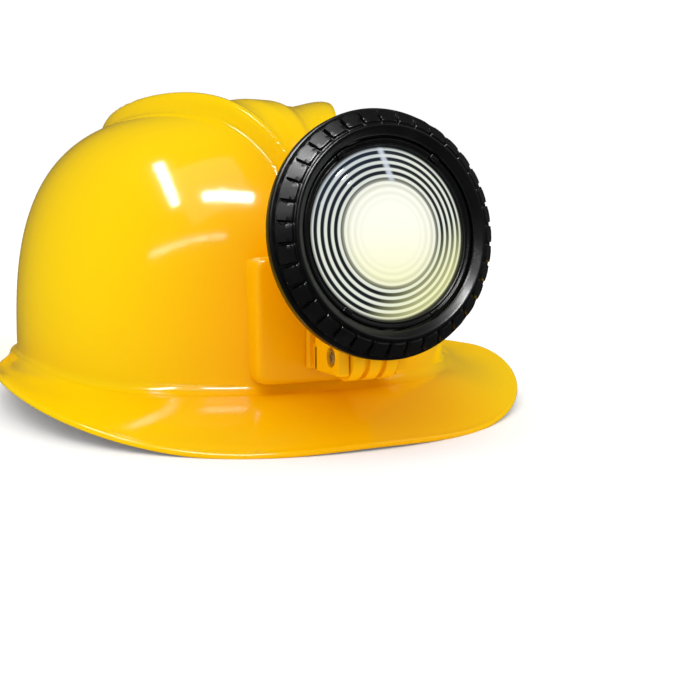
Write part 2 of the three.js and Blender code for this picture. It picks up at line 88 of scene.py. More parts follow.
def fromCap(points):
    return raiseFront(points, places["leanBack"]) + capShift


def fromLamp(points):
    return fromCap(raiseFront(points, places["tipUp"]) + np.array(places["lampCentre"]))


def ease(low, high, value):
    # smooth step from 0 at low to 1 at high, low may be the larger one
    t = np.clip((np.asarray(value, float) - low) / (high - low), 0, 1)
    return t * t * (3 - 2 * t)


mergeWithin = 2e-6  # metres: points this close are one point


def makePiece(name, grids, body, material, stands=(), values=None, sharp=35):
    # every grid is rows x columns x 3 in millimetres; touching borders are merged, faces turned outwards
    points, faces, start = [], [], 0
    for grid in grids:
        rows, cols = grid.shape[:2]
        index = start + np.arange(rows * cols).reshape(rows, cols)
        corners = [index[:-1, :-1], index[:-1, 1:], index[1:, 1:], index[1:, :-1]]
        faces.append(np.stack(corners, -1).reshape(-1, 4))
        points.append(grid.reshape(-1, 3))
        start += rows * cols
    points = np.concatenate(points) / 1000
    faces = np.concatenate(faces)
    mesh = bpy.data.meshes.new(name)
    mesh.vertices.add(len(points))
    mesh.vertices.foreach_set("co", points.ravel())
    mesh.loops.add(faces.size)
    mesh.loops.foreach_set("vertex_index", faces.ravel())
    mesh.polygons.add(len(faces))
    mesh.polygons.foreach_set("loop_start", np.arange(0, faces.size, 4))
    mesh.update(calc_edges=True)
    for key, numbers in (values or {}).items():
        kind = "FLOAT" if numbers.ndim == 1 else "FLOAT_VECTOR"
        layer = mesh.attributes.new(key, kind, "POINT")
        layer.data.foreach_set("value" if kind == "FLOAT" else "vector", numbers.ravel())
    shape = bmesh.new()
    shape.from_mesh(mesh)
    bmesh.ops.remove_doubles(shape, verts=shape.verts, dist=mergeWithin)
    bmesh.ops.recalc_face_normals(shape, faces=shape.faces)
    shape.to_mesh(mesh)
    shape.free()
    return finishPiece(mesh, name, body, material, stands, sharp)


def finishPiece(mesh, name, body, material, stands, sharp):
    mesh.shade_smooth()
    mesh.set_sharp_from_angle(angle=math.radians(sharp))
    mesh.materials.clear()
    mesh.materials.append(material)
    piece = bpy.data.objects.new(name, mesh)
    bpy.context.scene.collection.objects.link(piece)
    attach(piece, body)
    if stands:
        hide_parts(*stands)
    return piece


def refine(node, body, material, bevel=0.4, sharp=40):
    # a merged copy of a CAD node with its flat faces joined and its edges rounded
    mesh = frame["nodes"][node].data.copy()
    mesh.name = node + "_fine"
    shape = bmesh.new()
    shape.from_mesh(mesh)
    bmesh.ops.remove_doubles(shape, verts=shape.verts, dist=mergeWithin)
    bmesh.ops.dissolve_limit(shape, angle_limit=math.radians(2), verts=shape.verts, edges=shape.edges)
    shape.to_mesh(mesh)
    shape.free()
    piece = finishPiece(mesh, node + "_fine", body, material, (node,), sharp)
    rounding = piece.modifiers.new("roundedEdges", "BEVEL")
    rounding.width = bevel / 1000
    rounding.segments = 3
    rounding.limit_method = "ANGLE"
    rounding.angle_limit = math.radians(30)
    rounding.use_clamp_overlap = True


def softBlock(low, high, radius, flat=3, bend=4):
    # a box with rounded edges: each surface point is clamped to the inner box, then pushed out by radius
    low, high = np.array(low, float), np.array(high, float)
    half = (high - low) / 2
    inner = half - radius
    grids = []
    for axis in range(3):
        others = [i for i in range(3) if i != axis]
        lines = []
        for i in others:
            bendLine = np.linspace(inner[i], half[i], bend + 1)
            flatLine = np.linspace(-inner[i], inner[i], flat)[1:-1]
            lines.append(np.concatenate([-bendLine[::-1], flatLine, bendLine]))
        a, b = np.meshgrid(*lines, indexing="ij")
        for side in (-1, 1):
            cube = np.empty(a.shape + (3,))
            cube[..., axis] = side * half[axis]
            cube[..., others[0]] = a
            cube[..., others[1]] = b
            core = np.clip(cube, -inner, inner)
            out = cube - core
            out /= np.maximum(np.linalg.norm(out, axis=-1, keepdims=True), 1e-9)
            grids.append(core + radius * out + (low + high) / 2)
    return grids


smallCorner = 0.15  # radius of a corner that names none


def roundedOutline(corners, step=1.0, bend=4):
    # a closed outline through its corners: each corner is a small curve, long sides are divided
    # a corner is (a, b), (a, b, radius) or (a, b, radius, step along the side after it)
    corners = [(*c, *(smallCorner, step)[len(c) - 2 :]) for c in corners]
    bends = []
    for i, corner in enumerate(corners):
        here, radius = np.array(corner[:2]), corner[2]
        before = np.array(corners[i - 1][:2]) - here
        after = np.array(corners[(i + 1) % len(corners)][:2]) - here
        p, q = (
            here + side / max(np.linalg.norm(side), 1e-9) * min(radius, np.linalg.norm(side) * 0.45)
            for side in (before, after)
        )
        t = np.linspace(0, 1, bend + 1)[:, None]
        bends.append((1 - t) ** 2 * p + 2 * t * (1 - t) * here + t**2 * q)
    loop = []
    for i, part in enumerate(bends):
        side = bends[(i + 1) % len(bends)][0] - part[-1]
        count = max(int(np.linalg.norm(side) / corners[i][3]), 1)
        fill = part[-1] + side * np.linspace(0, 1, count + 1)[1:-1, None]
        loop += [part, fill]
    loop = np.concatenate(loop)
    return np.concatenate([loop, loop[:1]])


def revolve(outline, angles):
    # turns (radius, forward) pairs round the lamp's axis: x = r sin a, y = -forward, z = r cos a
    r, forward = outline[:, 0][:, None], outline[:, 1][:, None]
    a = np.asarray(angles)[None, :]
    return np.stack([r * np.sin(a), -forward + 0 * a, r * np.cos(a)], -1)


def barrelAlongX(outline, centreY, centreZ, count=64):
    # turns (radius, x) pairs round a line along X
    r, x = outline[:, 0][:, None], outline[:, 1][:, None]
    a = np.linspace(0, 2 * np.pi, count + 1)[None, :]
    return np.stack([x + 0 * a, centreY + r * np.sin(a), centreZ + r * np.cos(a)], -1)


fullTurn = np.linspace(0, 2 * np.pi, 145)


class Wire:
    # one socket; arithmetic on it adds Math nodes
    def __init__(self, look, socket):
        self.look = look
        self.socket = socket

    def maths(self, operation, *others):
        return self.look.node("ShaderNodeMath", {"operation": operation}, dict(enumerate((self, *others))))

    def __add__(self, other):
        return self.maths("ADD", other)

    __radd__ = __add__

    def __mul__(self, other):
        return self.maths("MULTIPLY", other)

    __rmul__ = __mul__

    def __sub__(self, other):
        return self.maths("SUBTRACT", other)

    def __rsub__(self, other):
        return self.look.node("ShaderNodeMath", {"operation": "SUBTRACT"}, {0: other, 1: self})

    def __truediv__(self, other):
        return self.maths("DIVIDE", other)

    def ramp(self, low, high, toLow=0.0, toHigh=1.0):
        # smooth change from toLow at low to toHigh at high
        values = {"Value": self, "From Min": low, "From Max": high, "To Min": toLow, "To Max": toHigh}
        return self.look.node("ShaderNodeMapRange", {"interpolation_type": "SMOOTHSTEP"}, values)


class Look:
    # a material, or the room's world, whose nodes are added by node()
    def __init__(self, name, owner=None):
        self.material = owner or bpy.data.materials.new(name)
        self.material.use_nodes = True
        self.tree = self.material.node_tree
        self.tree.nodes.clear()

    def node(self, kind, settings=None, values=None, output=0):
        made = self.tree.nodes.new(kind)
        for key, value in (settings or {}).items():
            setattr(made, key, value)
        for key, value in (values or {}).items():
            if isinstance(value, Wire):
                self.tree.links.new(value.socket, made.inputs[key])
            else:
                made.inputs[key].default_value = value
        return Wire(self, made.outputs[output])

    def place(self):
        return self.node("ShaderNodeTexCoord", output="Object")

    def attribute(self, name, output="Fac"):
        return self.node("ShaderNodeAttribute", {"attribute_name": name}, output=output)

    def noise(self, scale, detail=3.0):
        values = {"Vector": self.place(), "Scale": scale, "Detail": detail, "Roughness": 0.5}
        return self.node("ShaderNodeTexNoise", {}, values, "Fac")

    def mix(self, factor, first, second):
        return self.node("ShaderNodeMix", {"data_type": "RGBA"}, {"Factor": factor, 6: first, 7: second}, 2)

    def parts(self, vector):
        outputs = self.node("ShaderNodeSeparateXYZ", {}, {0: vector}).socket.node.outputs
        return [Wire(self, outputs[i]) for i in range(3)]

    def bump(self, height, strength, distance):
        values = {"Height": height, "Strength": strength, "Distance": distance}
        return self.node("ShaderNodeBump", {}, values)

    def finish(self, **sockets):
        # underscores in a socket's name stand for its spaces
        values = {key.replace("_", " "): value for key, value in sockets.items()}
        shader = self.node("ShaderNodeBsdfPrincipled", {}, values)
        output = self.tree.nodes.new("ShaderNodeOutputMaterial")
        self.tree.links.new(shader.socket, output.inputs["Surface"])
        return self.material


def rgb(red, green, blue):
    # display red, green, blue from 0 to 255 to linear values
    c = np.array([red, green, blue]) / 255
    linear = np.where(c <= 0.04045, c / 12.92, ((c + 0.055) / 1.055) ** 2.4)
    return (*linear.tolist(), 1.0)


cameraPlace = {
    "azimuth": -26.45,  # degrees, the camera stands to the wearer's right of the front
    "elevation": 6.4,
    "distance": 500,
    "target": (66.05, 0, 24.52),  # looked-at point in the cap's millimetres
    "lens": 48.36,
}


def makeCamera():
    azimuth, elevation = (math.radians(cameraPlace[key]) for key in ("azimuth", "elevation"))
    flat = math.cos(elevation)
    back = np.array([math.sin(azimuth) * flat, -math.cos(azimuth) * flat, math.sin(elevation)])
    right = np.array([math.cos(azimuth), math.sin(azimuth), 0])
    spot = fromCap(np.array(cameraPlace["target"]) + back * cameraPlace["distance"]) / 1000
    axes = [raiseFront(v, places["leanBack"]) for v in (right, np.cross(back, right), back)]
    data = bpy.data.cameras.new("camera")
    data.lens = cameraPlace["lens"]
    data.sensor_width = 36
    data.clip_start = 0.01
    camera = bpy.data.objects.new("camera", data)
    camera.matrix_world = Matrix.Translation(spot) @ Matrix(axes).transposed().to_4x4()
    bpy.context.scene.collection.objects.link(camera)
    bpy.context.scene.camera = camera


# each strip light runs between two directions (azimuth, elevation) seen from the object's middle
studio = {
    "seenWhite": 1.0,  # backdrop behind the object
    "softLight": 1.0,  # even light from all round
    "mirrored": 0.06,  # how bright the room is in gloss
    "stripDistance": 1.6,
    "boxDistance": 2.24,
    "strips": {
        "tallStrip": {"from": (-114, 57.5), "to": (-66, 44.0), "width": 0.12, "power": 18},
        "wideStrip": {"from": (-48, 53.0), "to": (-5, 54.5), "width": 0.15, "power": 28},
        "thinStrip": {"from": (-73, 19.0), "to": (-26, 34.0), "width": 0.022, "power": 2.4},
    },
    "boxes": {
        "key": {"direction": (-50, 62), "size": 1.5, "power": 10},
        "fill": {"direction": (60, 35), "size": 1.6, "power": 5},
    },
    "floorSize": 40,
    "floorGlow": 0.06,  # melts the floor's far edge into the backdrop
    "floorColor": (0.95, 0.95, 0.95, 1),
}
white = (1, 1, 1, 1)


def towards(azimuth, elevation):
    a, e = math.radians(azimuth), math.radians(elevation)
    return Vector((math.sin(a) * math.cos(e), -math.cos(a) * math.cos(e), math.sin(e)))


def areaLight(name, centre, along, aim, size, power):
    data = bpy.data.lights.new(name, "AREA")
    data.shape = "RECTANGLE"
    data.size, data.size_y = size
    data.energy = power
    back = (centre - aim).normalized()
    side = (along - back * along.dot(back)).normalized()
    light = bpy.data.objects.new(name, data)
    turned = Matrix((side, back.cross(side), back)).transposed().to_4x4()
    light.matrix_world = Matrix.Translation(centre) @ turned
    bpy.context.scene.collection.objects.link(light)
    return light


def makeLights():
    middle = (Vector(cadLow) + Vector(cadHigh)) / 2
    for name, strip in studio["strips"].items():
        first, last = (middle + towards(*strip[end]) * studio["stripDistance"] for end in ("from", "to"))
        size = ((last - first).length, strip["width"])
        light = areaLight(name, (first + last) / 2, last - first, middle, size, strip["power"])
        light.visible_diffuse = False  # strips only draw highlights
    for name, box in studio["boxes"].items():
        centre = middle + towards(*box["direction"]) * studio["boxDistance"]
        areaLight(name, centre, Vector((1, 0, 0)), middle, (box["size"], box["size"]), box["power"])


def makeRoom():
    # the camera sees white, matt surfaces get the soft light and gloss mirrors a dark room
    world = bpy.data.worlds.new("studio")
    room = Look("room", world)
    seen = room.node("ShaderNodeLightPath", output="Is Camera Ray")
    gloss = room.node("ShaderNodeLightPath", output="Is Glossy Ray")
    unseen = gloss * (studio["mirrored"] - studio["softLight"]) + studio["softLight"]
    strength = seen * studio["seenWhite"] + (1 - seen) * unseen
    glow = room.node("ShaderNodeBackground", {}, {"Color": white, "Strength": strength})
    output = room.tree.nodes.new("ShaderNodeOutputWorld")
    room.tree.links.new(glow.socket, output.inputs["Surface"])
    bpy.context.scene.world = world


def makeFloor():
    half = studio["floorSize"] / 2
    corners = [(-half, -half, 0), (half, -half, 0), (half, half, 0), (-half, half, 0)]
    mesh = bpy.data.meshes.new("floor")
    mesh.from_pydata(corners, [], [(0, 1, 2, 3)])
    look = Look("floorPaper")
    paper = look.finish(
        Base_Color=studio["floorColor"],
        Roughness=1.0,
        Specular_IOR_Level=0.0,
        Emission_Color=white,
        Emission_Strength=studio["floorGlow"],
    )
    mesh.materials.append(paper)
    floor = bpy.data.objects.new("floor", mesh)
    bpy.context.scene.collection.objects.link(floor)
    floor.visible_glossy = False  # keeps the black parts black


print("camera, floor and light")
makeCamera()
makeLights()
makeRoom()
makeFloor()
bpy.context.scene.view_settings.view_transform = "Standard"

dome = {
    "halfWidth": 100.0,
    "halfLength": 122.0,
    "foot": 25.3,
    "height": 114.7,
    "planPower": 2.25,
    "levelPower": 3.24,
    "crownPower": 2.7,
    "wall": 2.5,
    "lean": 0.9,  # share of the true normal's sideways part in the crest's direction
    "leanPower": 1.7,
}
brim = {
    "rear": 3.5,  # width at the back
    "visor": 39.7,  # width at the front
    "thick": 2.6,
    "bottom": 22.7,
    "visorBottom": 3.4,
    "visorArch": 0.9,  # rise of the visor's edge at its middle
    "footDrop": 5.0,  # how much lower the brim meets the wall at the front
    "gutter": 2.2,  # sag of the brim beside the wall
    "fillet": (2.2, 5.0),  # radius at the back and at the front
    "tuck": 0.0035,  # how far the dome's last row stops short of the foot, per millimetre of fillet
    "fall": 1.35,  # power of the brim's slope
    "edgeRound": 1.3,
    "visorStart": 0.25,  # sine of the plan angle where the brim starts to widen, a little behind the middle
    # degrees round from the front where each change starts and ends
    "visorTurn": (66, 16),
    "archTurn": (16, 0),
    "footTurn": (78, 34),
    "gutterTurn": (30, 60),
    "gutterWidth": (3, 9),  # brim widths between which the gutter appears
}
# shares are of the crest's half width, heights are over the dome
crest = {
    "side": 8.0,
    "valley": 3.0,
    "middle": 1.7,
    "narrow": 4.0,
    "spread": 49.5,
    "length": 152.0,
    "flank": (1.0, 0.82),
    "slope": (0.8, 0.42),
    "swell": (0.34, 0.1),
    "frontFade": (84, 108),
    "rearFade": (52, 104),
    "inset": 1.3,  # how much further in the crest's hollow runs, per millimetre of wall
    "hollow": 0.97,  # height of the hollow against the crest
}
shellGrid = {
    "turns": 480,
    "domeRows": 96,
    "filletRows": 9,
    "topRows": 22,
    "edgeRows": 9,
    "underRows": 16,
    "insideRows": 40,
}


def planRadius(angle, inset=0.0):
    # superellipse outline of the dome seen from above
    across = np.abs(np.cos(angle)) / (dome["halfWidth"] - inset)
    along = np.abs(np.sin(angle)) / (dome["halfLength"] - inset)
    return (across ** dome["planPower"] + along ** dome["planPower"]) ** (-1 / dome["planPower"])


def fromFront(angle):
    # degrees round from the front (-Y), 0 to 180
    return np.abs((np.degrees(angle) - 90) % 360 - 180)


def brimWidth(angle):
    # grows from the rear width to the visor's as the outline turns from the sides to the front
    facing = np.clip((brim["visorStart"] - np.sin(angle)) / (1 + brim["visorStart"]), 0, 1)
    return brim["rear"] + (brim["visor"] - brim["rear"]) * ease(0, 1, facing)


def brimBottom(angle):
    # level round the back, dropping to the visor's edge
    away = fromFront(angle)
    drop = (brim["bottom"] - brim["visorBottom"]) * ease(*brim["visorTurn"], away)
    return brim["bottom"] - drop + brim["visorArch"] * ease(*brim["archTurn"], away)


def filletRadius(angle):
    rear, front = brim["fillet"]
    return rear + (front - rear) * ease(0, 1, -np.sin(angle))


def crestLift(x, y, z, inset):
    # ridges fan out from the front: share is the distance from the middle over the fan's half width there;
    # the lift climbs at share 1, slopes to a valley near 0.4, swells again at the middle and is gone at
    # both ends
    reach = np.clip((y + dome["halfLength"]) / crest["length"], 0.01, 1.9)
    halfFan = crest["narrow"] + crest["spread"] * np.sin(np.pi / 2 * reach)
    share = (np.abs(x) + crest["inset"] * inset) / halfFan
    slope = crest["side"] - (crest["side"] - crest["valley"]) * ease(*crest["slope"], share)
    lift = slope * ease(*crest["flank"], share) + crest["middle"] * ease(*crest["swell"], share)
    return lift * np.where(y < 0, ease(*crest["frontFade"], z), ease(*crest["rearFade"], z))


def domeSkin(angle, level, inset=0.0, lift=1.0):
    # level 0 is the crown and 1 the foot; reach and rise follow powers of sine and cosine of the level,
    # and the crest stands out along a direction close to the surface's normal
    tall = dome["height"] - inset
    rise = tall * np.cos(level * np.pi / 2) ** (2 / dome["crownPower"])
    reach = planRadius(angle, inset) * np.sin(level * np.pi / 2) ** (2 / dome["levelPower"])
    x, y, z = reach * np.cos(angle), reach * np.sin(angle), dome["foot"] + rise
    outX = dome["lean"] * x / dome["halfWidth"] ** 2
    outY = dome["lean"] * y / dome["halfLength"] ** 2
    outZ = (rise / tall) ** dome["leanPower"] / dome["height"]
    out = np.stack([outX, outY, outZ], -1)
    out /= np.linalg.norm(out, axis=-1, keepdims=True)
    return np.stack([x, y, z], -1) + out * (crestLift(x, y, z, inset) * lift)[..., None]


def brimRows(angle):
    # section from the dome's foot over the brim, round its edge and back under it to the wall;
    # top and underside fall as a power of the way out and sag by half a sine wave beside the wall
    radius, width, edge = planRadius(angle), brimWidth(angle), brimBottom(angle)
    rounding = filletRadius(angle)
    away = fromFront(angle)
    drop = brim["footDrop"] * ease(*brim["footTurn"], away)
    foot, root, top = dome["foot"] - drop, brim["bottom"] - drop, edge + brim["thick"]
    sag = brim["gutter"] * ease(*brim["gutterWidth"], width) * ease(*brim["gutterTurn"], away)
    tip, fall, wall = brim["edgeRound"], brim["fall"], dome["wall"]

    def lowered(u):
        return sag * np.sin(np.pi * u**0.8)

    rows = []
    for a in np.radians(np.linspace(80, 0, shellGrid["filletRows"])):
        rows.append((radius + rounding - rounding * math.sin(a), foot + rounding - rounding * math.cos(a)))
    for u in np.linspace(0.04, 1, shellGrid["topRows"]):
        r = radius + rounding + (width - rounding - tip) * u
        rows.append((r, foot + (top - foot) * u**fall - lowered(u)))
    for a in np.radians(np.linspace(70, -90, shellGrid["edgeRows"])):
        r = radius + width - tip + tip * math.cos(a)
        rows.append((r, edge + brim["thick"] / 2 + tip * math.sin(a)))
    for u in np.linspace(0.95, 0.0, shellGrid["underRows"]):
        r = radius - wall + (width + wall - tip) * u
        rows.append((r, root + (edge - root) * u**fall - lowered(u)))
    return [np.stack([r * np.cos(angle), r * np.sin(angle), z + 0 * r], -1) for r, z in rows]


def shellSkin():
    # one skin: the dome from the crown down, the brim's section, and the inside back up to the crown
    angle = np.linspace(0, 2 * np.pi, shellGrid["turns"] + 1)
    stopShort = 1 - brim["tuck"] * filletRadius(angle)
    levels = np.linspace(0, 1, shellGrid["domeRows"]) ** 0.9
    outside = [domeSkin(angle, level * stopShort) for level in levels]
    insideLevels = np.linspace(1, 0, shellGrid["insideRows"]) * 0.9999
    inside = [domeSkin(angle, level + 0 * angle, dome["wall"], crest["hollow"]) for level in insideLevels]
    rows = outside + brimRows(angle) + inside
    under = len(outside) + shellGrid["filletRows"] + shellGrid["topRows"] + shellGrid["edgeRows"] - 2
    isInside = np.zeros((len(rows), len(angle)))
    isInside[under:] = 1
    skin = fromCap(np.stack(rows))
    skin[..., 2] = np.maximum(skin[..., 2], 0)  # trimmed to the plane it stands on
    return skin, isInside.ravel()


yellow = {
    "lemon": (rgb(246, 207, 1), rgb(244, 199, 2)),
    # painted shade: a darker orange for the plastic round the lamp's bracket
    "shadeNearLamp": rgb(247, 163, 3),
    "shadeFrom": (0.03, 0.115),  # metres from the bracket's middle where the painted shade is full and where it is none
    # painted shade: grey for the inside and the brim's underside, which lie in shadow
    "inside": rgb(150, 143, 138),
    "rough": 0.10,
}


def yellowPlastic():
    # lemon plastic with painted shade: darker orange round the lamp's bracket, and grey on the inside and
    # under the brim
    look = Look("shellYellow")
    low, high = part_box("lamp_bracket")
    centre = [(a + b) / 2 for a, b in zip(low, high)]
    near = look.node("ShaderNodeVectorMath", {"operation": "DISTANCE"}, {0: look.place(), 1: centre}, "Value")
    # painted shade: the yellow turns orange near the lamp's bracket
    paintedShade = near.ramp(*yellow["shadeFrom"], 1.0, 0.0)
    cloud = look.noise(9.0, 2.0)
    base = look.mix((cloud - 0.5) * 0.5 + 0.35, *yellow["lemon"])
    base = look.mix(paintedShade * 0.7, base, yellow["shadeNearLamp"])
    inside = look.attribute("inside")
    # painted shade: the inside and the brim's underside are coloured grey
    base = look.mix(inside, base, yellow["inside"])
    wear = look.noise(260.0, 4.0).ramp(0.62, 0.75)
    rough = yellow["rough"] + cloud * 0.03 + wear * 0.05 + inside * 0.35
    peel = look.noise(420.0, 2.0)
    return look.finish(Base_Color=base, Roughness=rough, Normal=look.bump(peel, 0.05, 0.0004), IOR=1.38)


print("shell")
shellYellow = yellowPlastic()
skin, isInside = shellSkin()
makePiece(
    "capShell", [skin], "helmet", shellYellow, ("cap_shell",), {"inside": isInside}, sharp=50
)

pad = {
    "halfWidth": 31.5,
    "front": -127.0,
    "bottom": 24.0,
    "top": 73.0,
    "round": 2.2,
    "squareness": 14,
    "sunk": 1.0,  # how far its back lies inside the wall
}


def wallFront(x, z):
    # y of the dome's outer wall at a place on the front
    height = np.clip((z - dome["foot"]) / dome["height"], 0, 1)
    reach = (1 - height ** dome["crownPower"]) ** (1 / dome["levelPower"])
    across = np.abs(x) / (dome["halfWidth"] * reach)
    return -dome["halfLength"] * reach * (1 - across ** dome["planPower"]) ** (1 / dome["planPower"])


def padGrid():
    # a near-rectangle, a superellipse of high power, grown from its middle, rolled over at its border
    # by a quarter circle and closed against the wall
    turn = np.linspace(0, 2 * np.pi, 241)
    c, s = np.cos(turn), np.sin(turn)
    power = pad["squareness"]
    unit = (np.abs(c) ** power + np.abs(s) ** power) ** (-1 / power)
    halfTall = (pad["top"] - pad["bottom"]) / 2
    middle = (pad["top"] + pad["bottom"]) / 2

    def ring(halfWide, halfHigh, y):
        x, z = halfWide * unit * c, middle + halfHigh * unit * s
        return np.stack([x, (wallFront(x, z) + pad["sunk"] if y is None else y) + 0 * x, z], -1)

    rows = [ring(pad["halfWidth"] * share, halfTall * share, pad["front"]) for share in (0, 0.4, 0.8)]
    for bend in np.radians(np.linspace(0, 90, 6)):
        shrink = pad["round"] * (1 - math.sin(bend))
        y = pad["front"] + pad["round"] * (1 - math.cos(bend))
        rows.append(ring(pad["halfWidth"] - shrink, halfTall - shrink, y))
    for share in (1.0, 0.6, 0):
        row = ring(pad["halfWidth"] * share, halfTall * share, None)
        row[:, 1] = np.maximum(row[:, 1], pad["front"] + 2)
        rows.append(row)
    return np.stack(rows)


makePiece("frontPad", [fromCap(padGrid())], "helmet", shellYellow, (), sharp=40)

bezel = {
    "coneRear": (41.2, 1.2),  # radius and forward distance of the grip cone's ends
    "coneFront": (36.8, 6.3),
    "blocks": 36,
    "raise": (2.0, 0.8),  # height of a block at its rear and front edge
    "blockHalf": (3.05, 2.95),
    "corner": 0.7,
    "skirt": (38.95, 41.4),
    "flange": 43.4,
    "bore": 33.2,
    "coneStep": 0.26,
}


def bezelOutline():
    bore, (skirtIn, skirtOut), flange = bezel["bore"], bezel["skirt"], bezel["flange"]
    corners = [
        (bore, 1.0),
        (skirtIn, 1.0),
        (skirtIn, -7.0, 0.3),
        (skirtOut, -7.0, 0.4),
        (skirtOut, -3.0, 0.2),
        (flange, -3.0, 0.5),
        (flange, 0.3, 0.5),
        (flange - 0.6, 0.75, 0.3),
        (41.5, 0.75, 0.2),
        (*bezel["coneRear"], 0.1, bezel["coneStep"]),
        (*bezel["coneFront"], 0.2),
        (36.7, 7.0, 0.4),
        (36.2, 7.4, 0.5),
        (35.5, 7.1, 0.5),
        (bore + 0.4, 5.2, 0.5),
        (bore, 4.6, 0.3),
    ]
    return roundedOutline(corners, 1.2)


def bezelGrid():
    # raised blocks: distance to a rounded rectangle on the cone decides the height along the cone's normal
    edge = np.linspace(0.425, 0.485, 5)  # columns crowd at a block's sides, as shares of the pitch
    share = np.concatenate([[-0.5], -edge[::-1], [-0.39, -0.2, 0, 0.2, 0.39], edge])
    pitch = 2 * np.pi / bezel["blocks"]
    part = np.append(np.tile(share, bezel["blocks"]), share[0]) * pitch
    angles = part + np.append(np.repeat(np.arange(bezel["blocks"]), len(share)), bezel["blocks"]) * pitch
    outline = bezelOutline()
    rear, front = np.array(bezel["coneRear"]), np.array(bezel["coneFront"])
    length = np.linalg.norm(front - rear)
    run = (front - rear) / length
    normal = np.array([run[1], -run[0]])
    along = (outline - rear) @ run
    off = np.abs((outline - rear) @ normal)
    onCone = (off < 0.25) & (along > -0.2) & (along < length + 0.2)
    halfWide, halfLong = bezel["blockHalf"]
    across = np.abs(part[None, :] * outline[:, 0][:, None]) - (halfWide - bezel["corner"])
    lengthwise = np.abs(along - length * 0.49)[:, None] - (halfLong - bezel["corner"])
    outer = np.hypot(np.maximum(across, 0), np.maximum(lengthwise, 0))
    distance = outer + np.minimum(np.maximum(across, lengthwise), 0) - bezel["corner"]
    rearRaise, frontRaise = bezel["raise"]
    height = rearRaise + (frontRaise - rearRaise) * np.clip(along / length, 0, 1)
    raised = height[:, None] * ease(0.12, -0.3, distance) * onCone[:, None]
    r = outline[:, 0][:, None] + normal[0] * raised
    forward = outline[:, 1][:, None] + normal[1] * raised
    return np.stack([r * np.sin(angles), -forward, r * np.cos(angles)], -1)


def blackPlastic(name, rough=0.22, dust=0.5):
    look = Look(name)
    cloud = look.noise(60.0, 4.0)
    fine = look.noise(900.0, 2.0)
    base = look.mix(cloud.ramp(0.5, 0.75) * dust, rgb(7, 7, 8), rgb(22, 22, 23))
    roughness = rough + cloud * 0.10 + fine * 0.05
    return look.finish(Base_Color=base, Roughness=roughness, Normal=look.bump(fine, 0.06, 0.0003), IOR=1.45)


print("lamp bezel and lens")
bezelBlack = blackPlastic("bezelBlack")
makePiece("bezelRing", [fromLamp(bezelGrid())], "bezel", bezelBlack, ("bezel_ring",), sharp=40)

retainer = {
    "corners": [
        (30.1, 2.3),
        (32.8, 2.3),
        (32.8, 3.6, 0.3),
        (32.3, 4.1, 0.3),
        (31.7, 4.1, 0.2),
        (31.4, 3.5, 0.2),
        (30.7, 3.3, 0.2),
        (30.4, 3.8, 0.2),
        (30.1, 3.5, 0.2),
    ],
    "tabTurns": (35, 150, 215, 325),
    "tab": ((-1.7, -4.8, 30.9), (1.7, -3.0, 32.6)),
}


def retainerGrids():
    # a turned ring with four blocks set round it
    grids = [revolve(roundedOutline(retainer["corners"], 0.5, 3), fullTurn)]
    for turn in np.radians(retainer["tabTurns"]):
        for grid in softBlock(*retainer["tab"], 0.3):
            x, y, z = np.moveaxis(grid, -1, 0)
            turnedX = x * math.cos(turn) + z * math.sin(turn)
            turnedZ = z * math.cos(turn) - x * math.sin(turn)
            grids.append(np.stack([turnedX, y, turnedZ], -1))
    return [fromLamp(grid) for grid in grids]


makePiece("lensRetainer", retainerGrids(), "bezel", bezelBlack, ("lens_retainer",))

lens = {
    "rim": 32.4,
    "clear": 30.0,
    "rimFront": 1.9,
    "back": -0.5,
    "pitch": 2.35,
    "ridge": 0.3,
    "firstRidge": 15.0,
    "dome": 2.4,
    "glow": 0.95,
}


def lensGrid():
    # shallow dome whose outer part carries concentric ridges, a cosine of the radius; the back is flat
    r = np.linspace(0, lens["clear"], 240)
    first, clear = lens["firstRidge"], lens["clear"]
    wave = 0.5 + 0.5 * np.cos(2 * np.pi * (r - first) / lens["pitch"])
    ridged = lens["ridge"] * wave * ease(first - 3, first + 1, r) * ease(clear, clear - 0.8, r)
    front = np.stack([r, lens["rimFront"] + lens["dome"] * (1 - (r / clear) ** 2) + ridged], -1)
    rim, back, chamfer = lens["rim"], lens["back"], 0.2
    edge = [
        (rim - chamfer, lens["rimFront"]),
        (rim, lens["rimFront"] - chamfer),
        (rim, back + chamfer),
        (rim - chamfer, back),
        (first, back),
        (0.0, back),
    ]
    outline = np.concatenate([front, edge])
    return fromLamp(revolve(outline, fullTurn)), np.repeat(outline[:, 0], len(fullTurn))


